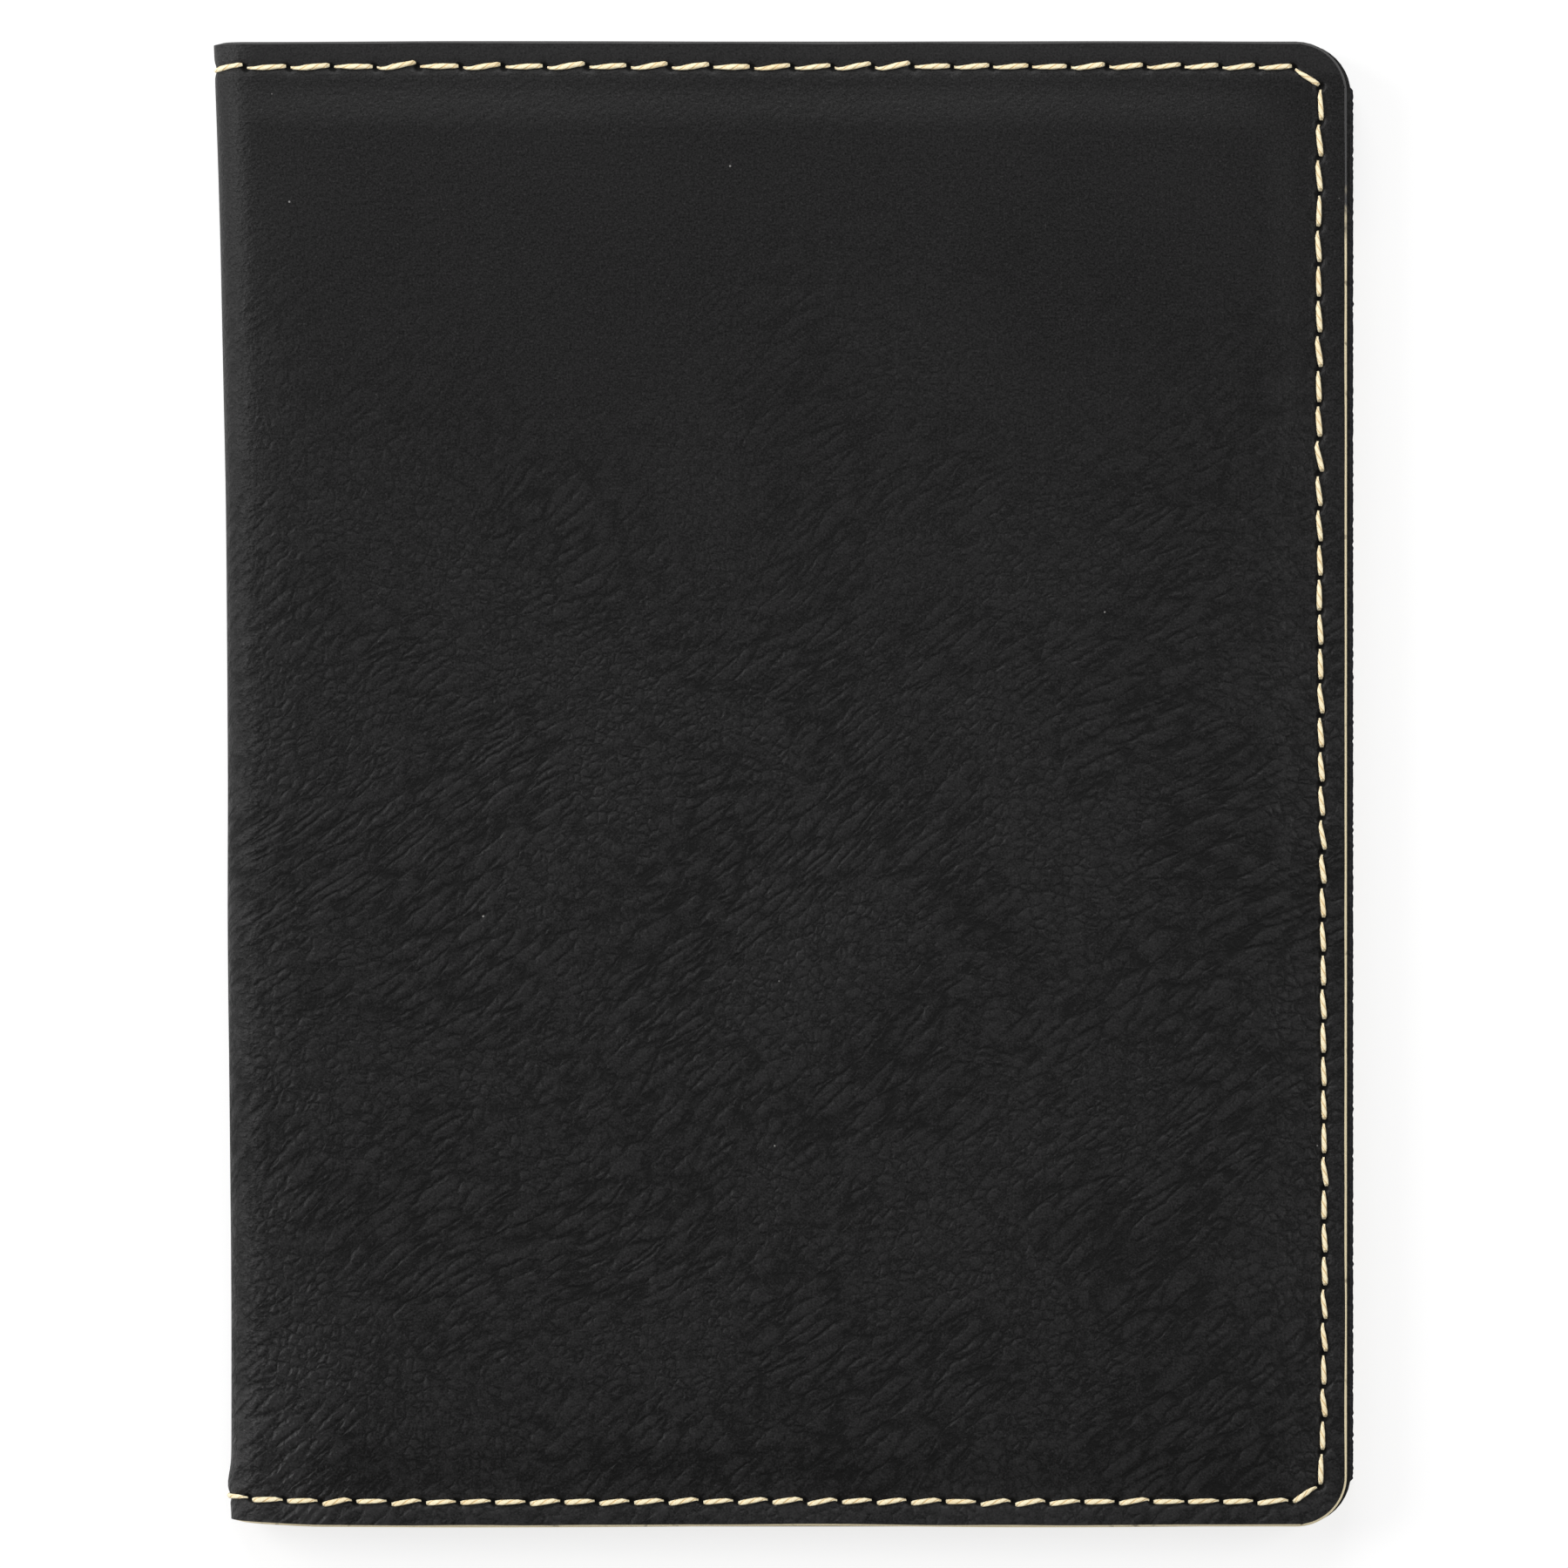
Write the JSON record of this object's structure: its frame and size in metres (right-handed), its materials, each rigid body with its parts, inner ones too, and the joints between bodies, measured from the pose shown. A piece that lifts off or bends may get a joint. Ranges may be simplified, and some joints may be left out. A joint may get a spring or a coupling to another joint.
{
  "type": "travel document holder",
  "caption": "Folding travel document holder in stitched black leatherette, with boarded covers that open flat over a sleeve and card pockets.",
  "frame": {"origin": "under the middle of the closed holder, in the plane that it lies on", "axes": "+X from the fold to the fore-edge, +Y up the height, +Z through the thickness from the back cover to the front cover"},
  "size_m": [0.1062, 0.1396, 0.0064],
  "materials": {
    "leatherette": "pebbled black coated leatherette with a cream core at its cut edges",
    "pocket_leatherette": "thin smooth black leatherette",
    "lining": "plain dark woven lining",
    "board": "grey-brown pulp board",
    "thread": "twisted cream sewing thread"
  },
  "bodies": {
    "back_cover": {"back_cover_leather": "leatherette", "back_board": "board", "back_lining": "lining", "back_sleeve": "pocket_leatherette", "back_seam_thread": "thread", "back_inner_thread": "thread"},
    "spine": {"spine_leather": "leatherette", "spine_lining": "lining", "spine_top_thread": "thread", "spine_bottom_thread": "thread"},
    "front_cover": {"front_cover_leather": "leatherette", "front_board": "board", "front_lining": "lining", "front_sleeve": "pocket_leatherette", "upper_card_pocket": "pocket_leatherette", "lower_card_pocket": "pocket_leatherette", "front_seam_thread": "thread", "front_inner_thread": "thread", "card_pocket_thread": "thread"}
  },
  "joints": [
    {"name": "spine_fold", "type": "hinge", "parent": "back_cover", "child": "spine", "pos_m": [-0.05203, 0, 0.00104], "axis": [0, -1, 0], "range_deg": [0, 90]},
    {"name": "front_fold", "type": "hinge", "parent": "spine", "child": "front_cover", "pos_m": [-0.05203, 0, 0.00536], "axis": [0, -1, 0], "range_deg": [0, 90]}
  ],
  "couplings": [
    {"joint": "front_fold", "follows": "spine_fold", "ratio": 1}
  ]
}
